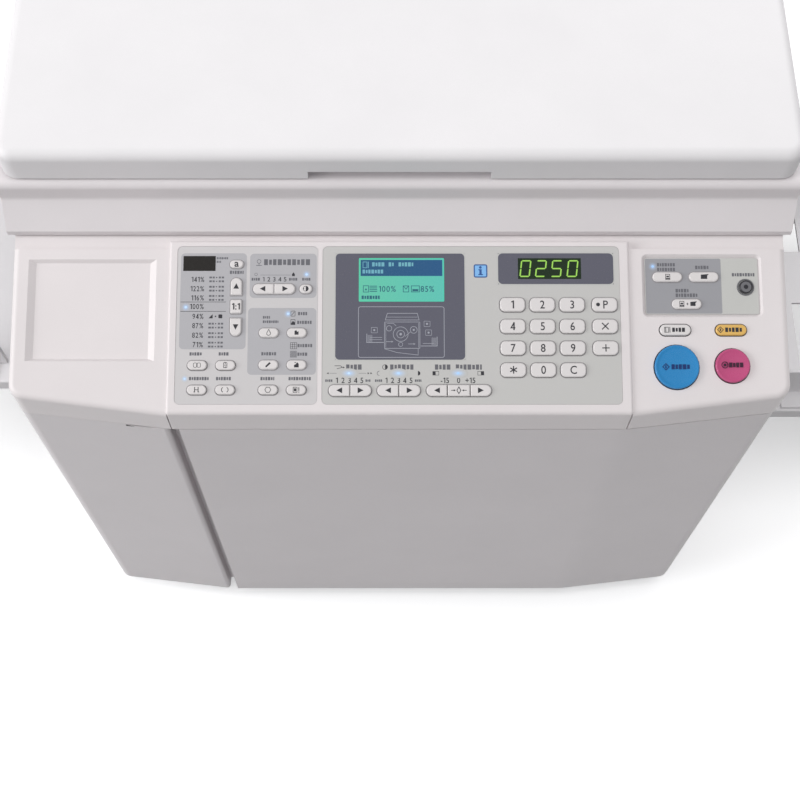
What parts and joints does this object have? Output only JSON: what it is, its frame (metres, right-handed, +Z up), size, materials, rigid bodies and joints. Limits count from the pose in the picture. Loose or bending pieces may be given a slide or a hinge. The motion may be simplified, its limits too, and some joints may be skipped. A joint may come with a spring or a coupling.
{
  "type": "digital duplicator",
  "caption": "Table-top digital duplicator with a hinged stage cover, sloping key panel with displays, front door over a print drum, folding feed and receiving trays.",
  "frame": {"origin": "on the surface under the feet, below the middle of the machine", "axes": "+Z up, -Y towards the operator at the front, +X to the operator's right, along both trays"},
  "size_m": [1.414, 0.652, 0.632],
  "materials": {
    "housing_grey": "fine satin texture",
    "deck_grey": "fine satin texture",
    "lid_white": "fine satin texture",
    "tray_grey": "fine satin texture",
    "sheet_grey": "smooth satin film",
    "key_grey": "smooth satin",
    "display_slate": "glossy window",
    "start_blue": "smooth satin",
    "stop_pink": "smooth satin",
    "reset_amber": "smooth satin",
    "wake_dark": "smooth satin",
    "pad_white": "soft sheet",
    "stage_glass": "polished",
    "frame_steel": "zinc plated sheet",
    "pin_steel": "ground",
    "foot_rubber": "matt",
    "roller_rubber": "matt",
    "drum_mesh": "fine woven mesh",
    "carrier_grey": "satin",
    "cartridge_dark": "satin",
    "master_film": "thin coated film",
    "carriage_black": "satin",
    "box_dark": "fine satin texture",
    "switch_black": "smooth"
  },
  "bodies": {
    "machine": {"base_pan": "frame_steel", "feet": "foot_rubber", "left_side_cover": "housing_grey", "right_side_cover": "housing_grey", "rear_cover": "housing_grey", "front_left_cover": "housing_grey", "frame_plates": "frame_steel", "deck_left": "deck_grey", "deck_centre": "deck_grey", "deck_right": "deck_grey", "panel_sheets": "sheet_grey", "displays": "display_slate", "scanner_housing": "housing_grey", "stage_glass": "stage_glass", "hinge_hardware": "pin_steel", "drum_frame": "carrier_grey", "ink_cartridge": "cartridge_dark", "mains_inlet": "switch_black"},
    "stage_cover": {"stage_cover": "lid_white", "pressure_pad": "pad_white"},
    "front_door": {"front_door": "housing_grey"},
    "scan_carriage": {"scan_carriage": "carriage_black"},
    "feed_lift": {"feed_lift": "frame_steel"},
    "feed_tray": {"feed_tray": "tray_grey"},
    "feed_guide_front": {"feed_guide_front": "tray_grey"},
    "feed_guide_rear": {"feed_guide_rear": "tray_grey"},
    "receive_tray": {"receive_tray": "tray_grey"},
    "receive_guide_front": {"receive_guide_front": "tray_grey"},
    "receive_guide_rear": {"receive_guide_rear": "tray_grey"},
    "end_stopper": {"end_stopper": "tray_grey"},
    "disposal_box": {"disposal_box": "box_dark"},
    "print_drum": {"print_drum": "drum_mesh"},
    "press_roller": {"press_roller": "roller_rubber"},
    "pickup_roller": {"pickup_roller": "roller_rubber"},
    "master_roll": {"master_roll": "master_film"},
    "power_switch": {"power_switch": "switch_black"},
    "start_key": {"start_key": "start_blue"},
    "stop_key": {"stop_key": "stop_pink"},
    "reset_key": {"reset_key": "reset_amber"},
    "wake_key": {"wake_key": "wake_dark"},
    "proof_key": {"proof_key": "key_grey"},
    "master_key": {"master_key": "key_grey"},
    "print_key": {"print_key": "key_grey"},
    "auto_process_key": {"auto_process_key": "key_grey"},
    "key_1": {"key_1": "key_grey"},
    "key_2": {"key_2": "key_grey"},
    "key_3": {"key_3": "key_grey"},
    "key_4": {"key_4": "key_grey"},
    "key_5": {"key_5": "key_grey"},
    "key_6": {"key_6": "key_grey"},
    "key_7": {"key_7": "key_grey"},
    "key_8": {"key_8": "key_grey"},
    "key_9": {"key_9": "key_grey"},
    "key_star": {"key_star": "key_grey"},
    "key_0": {"key_0": "key_grey"},
    "key_clear": {"key_clear": "key_grey"},
    "memory_keys": {"memory_keys": "key_grey"},
    "adjust_keys": {"adjust_keys": "key_grey"},
    "left_panel_keys": {"left_panel_keys": "key_grey"}
  },
  "joints": [
    {"name": "stage_cover_hinge", "type": "hinge", "parent": "machine", "child": "stage_cover", "pos_m": [0, 0.306, 0.612], "axis": [-1, 0, 0], "range_deg": [0, 75]},
    {"name": "front_door_hinge", "type": "hinge", "parent": "machine", "child": "front_door", "pos_m": [0.291, -0.3, 0.26], "axis": [0, 0, 1], "range_deg": [0, 110]},
    {"name": "feed_lift_slide", "type": "slide", "parent": "machine", "child": "feed_lift", "axis": [0, 0, 1], "range_m": [-0.11, 0]},
    {"name": "feed_tray_hinge", "type": "hinge", "parent": "feed_lift", "child": "feed_tray", "pos_m": [-0.367, -0.02, 0.254], "axis": [0, -1, 0], "range_deg": [-90, 0]},
    {"name": "receive_tray_hinge", "type": "hinge", "parent": "machine", "child": "receive_tray", "pos_m": [0.367, -0.02, 0.182], "axis": [0, 1, 0], "range_deg": [-90, 0]},
    {"name": "disposal_box_slide", "type": "slide", "parent": "machine", "child": "disposal_box", "axis": [-1, 0, 0], "range_m": [0, 0.17]},
    {"name": "feed_guide_front_slide", "type": "slide", "parent": "feed_tray", "child": "feed_guide_front", "axis": [0, 1, 0], "range_m": [0, 0.09]},
    {"name": "feed_guide_rear_slide", "type": "slide", "parent": "feed_tray", "child": "feed_guide_rear", "axis": [0, -1, 0], "range_m": [0, 0.09]},
    {"name": "receive_guide_front_slide", "type": "slide", "parent": "receive_tray", "child": "receive_guide_front", "axis": [0, 1, 0], "range_m": [0, 0.09]},
    {"name": "receive_guide_rear_slide", "type": "slide", "parent": "receive_tray", "child": "receive_guide_rear", "axis": [0, -1, 0], "range_m": [0, 0.09]},
    {"name": "end_stopper_slide", "type": "slide", "parent": "receive_tray", "child": "end_stopper", "axis": [1, 0, 0], "range_m": [-0.18, 0.03]},
    {"name": "print_drum_spin", "type": "hinge", "parent": "machine", "child": "print_drum", "pos_m": [0.02, -0.04, 0.375], "axis": [0, 1, 0], "continuous": true},
    {"name": "press_roller_spin", "type": "hinge", "parent": "machine", "child": "press_roller", "pos_m": [0.02, -0.04, 0.2595], "axis": [0, 1, 0], "continuous": true},
    {"name": "pickup_roller_spin", "type": "hinge", "parent": "machine", "child": "pickup_roller", "pos_m": [-0.262, -0.04, 0.2844], "axis": [0, 1, 0], "continuous": true},
    {"name": "master_roll_spin", "type": "hinge", "parent": "machine", "child": "master_roll", "pos_m": [0.205, -0.04, 0.455], "axis": [0, 1, 0], "continuous": true},
    {"name": "scan_carriage_slide", "type": "slide", "parent": "machine", "child": "scan_carriage", "axis": [1, 0, 0], "range_m": [0, 0.38]},
    {"name": "power_switch_rock", "type": "hinge", "parent": "machine", "child": "power_switch", "pos_m": [0.3035, -0.24, 0.15], "axis": [0, 1, 0], "range_deg": [0, 18]},
    {"name": "start_key_press", "type": "slide", "parent": "machine", "child": "start_key", "axis": [0, 0.2588, -0.9659], "range_m": [0, 0.0016], "stiffness_N_per_m": 800, "springref_m": -0.0005},
    {"name": "stop_key_press", "type": "slide", "parent": "machine", "child": "stop_key", "axis": [0, 0.2588, -0.9659], "range_m": [0, 0.0016], "stiffness_N_per_m": 800, "springref_m": -0.0005},
    {"name": "reset_key_press", "type": "slide", "parent": "machine", "child": "reset_key", "axis": [0, 0.2588, -0.9659], "range_m": [0, 0.0012], "stiffness_N_per_m": 400, "springref_m": -0.0005},
    {"name": "proof_key_press", "type": "slide", "parent": "machine", "child": "proof_key", "axis": [0, 0.2588, -0.9659], "range_m": [0, 0.0012], "stiffness_N_per_m": 400, "springref_m": -0.0005},
    {"name": "wake_key_press", "type": "slide", "parent": "machine", "child": "wake_key", "axis": [0, 0.2588, -0.9659], "range_m": [0, 0.0012], "stiffness_N_per_m": 400, "springref_m": -0.0005},
    {"name": "master_key_press", "type": "slide", "parent": "machine", "child": "master_key", "axis": [0, 0.2588, -0.9659], "range_m": [0, 0.0012], "stiffness_N_per_m": 400, "springref_m": -0.0005},
    {"name": "print_key_press", "type": "slide", "parent": "machine", "child": "print_key", "axis": [0, 0.2588, -0.9659], "range_m": [0, 0.0012], "stiffness_N_per_m": 400, "springref_m": -0.0005},
    {"name": "auto_process_key_press", "type": "slide", "parent": "machine", "child": "auto_process_key", "axis": [0, 0.2588, -0.9659], "range_m": [0, 0.0012], "stiffness_N_per_m": 400, "springref_m": -0.0005},
    {"name": "key_1_press", "type": "slide", "parent": "machine", "child": "key_1", "axis": [0, 0.2588, -0.9659], "range_m": [0, 0.0012], "stiffness_N_per_m": 400, "springref_m": -0.0005},
    {"name": "key_2_press", "type": "slide", "parent": "machine", "child": "key_2", "axis": [0, 0.2588, -0.9659], "range_m": [0, 0.0012], "stiffness_N_per_m": 400, "springref_m": -0.0005},
    {"name": "key_3_press", "type": "slide", "parent": "machine", "child": "key_3", "axis": [0, 0.2588, -0.9659], "range_m": [0, 0.0012], "stiffness_N_per_m": 400, "springref_m": -0.0005},
    {"name": "key_4_press", "type": "slide", "parent": "machine", "child": "key_4", "axis": [0, 0.2588, -0.9659], "range_m": [0, 0.0012], "stiffness_N_per_m": 400, "springref_m": -0.0005},
    {"name": "key_5_press", "type": "slide", "parent": "machine", "child": "key_5", "axis": [0, 0.2588, -0.9659], "range_m": [0, 0.0012], "stiffness_N_per_m": 400, "springref_m": -0.0005},
    {"name": "key_6_press", "type": "slide", "parent": "machine", "child": "key_6", "axis": [0, 0.2588, -0.9659], "range_m": [0, 0.0012], "stiffness_N_per_m": 400, "springref_m": -0.0005},
    {"name": "key_7_press", "type": "slide", "parent": "machine", "child": "key_7", "axis": [0, 0.2588, -0.9659], "range_m": [0, 0.0012], "stiffness_N_per_m": 400, "springref_m": -0.0005},
    {"name": "key_8_press", "type": "slide", "parent": "machine", "child": "key_8", "axis": [0, 0.2588, -0.9659], "range_m": [0, 0.0012], "stiffness_N_per_m": 400, "springref_m": -0.0005},
    {"name": "key_9_press", "type": "slide", "parent": "machine", "child": "key_9", "axis": [0, 0.2588, -0.9659], "range_m": [0, 0.0012], "stiffness_N_per_m": 400, "springref_m": -0.0005},
    {"name": "key_star_press", "type": "slide", "parent": "machine", "child": "key_star", "axis": [0, 0.2588, -0.9659], "range_m": [0, 0.0012], "stiffness_N_per_m": 400, "springref_m": -0.0005},
    {"name": "key_0_press", "type": "slide", "parent": "machine", "child": "key_0", "axis": [0, 0.2588, -0.9659], "range_m": [0, 0.0012], "stiffness_N_per_m": 400, "springref_m": -0.0005},
    {"name": "key_clear_press", "type": "slide", "parent": "machine", "child": "key_clear", "axis": [0, 0.2588, -0.9659], "range_m": [0, 0.0012], "stiffness_N_per_m": 400, "springref_m": -0.0005},
    {"name": "memory_keys_press", "type": "slide", "parent": "machine", "child": "memory_keys", "axis": [0, 0.2588, -0.9659], "range_m": [0, 0.0012], "stiffness_N_per_m": 400, "springref_m": -0.0005},
    {"name": "adjust_keys_press", "type": "slide", "parent": "machine", "child": "adjust_keys", "axis": [0, 0.2588, -0.9659], "range_m": [0, 0.0012], "stiffness_N_per_m": 1000, "springref_m": -0.0005},
    {"name": "left_panel_keys_press", "type": "slide", "parent": "machine", "child": "left_panel_keys", "axis": [0, 0.2588, -0.9659], "range_m": [0, 0.0012], "stiffness_N_per_m": 1500, "springref_m": -0.0005}
  ],
  "couplings": [
    {"joint": "press_roller_spin", "follows": "print_drum_spin", "ratio": -3.6},
    {"joint": "feed_guide_rear_slide", "follows": "feed_guide_front_slide", "ratio": 1},
    {"joint": "receive_guide_rear_slide", "follows": "receive_guide_front_slide", "ratio": 1}
  ]
}
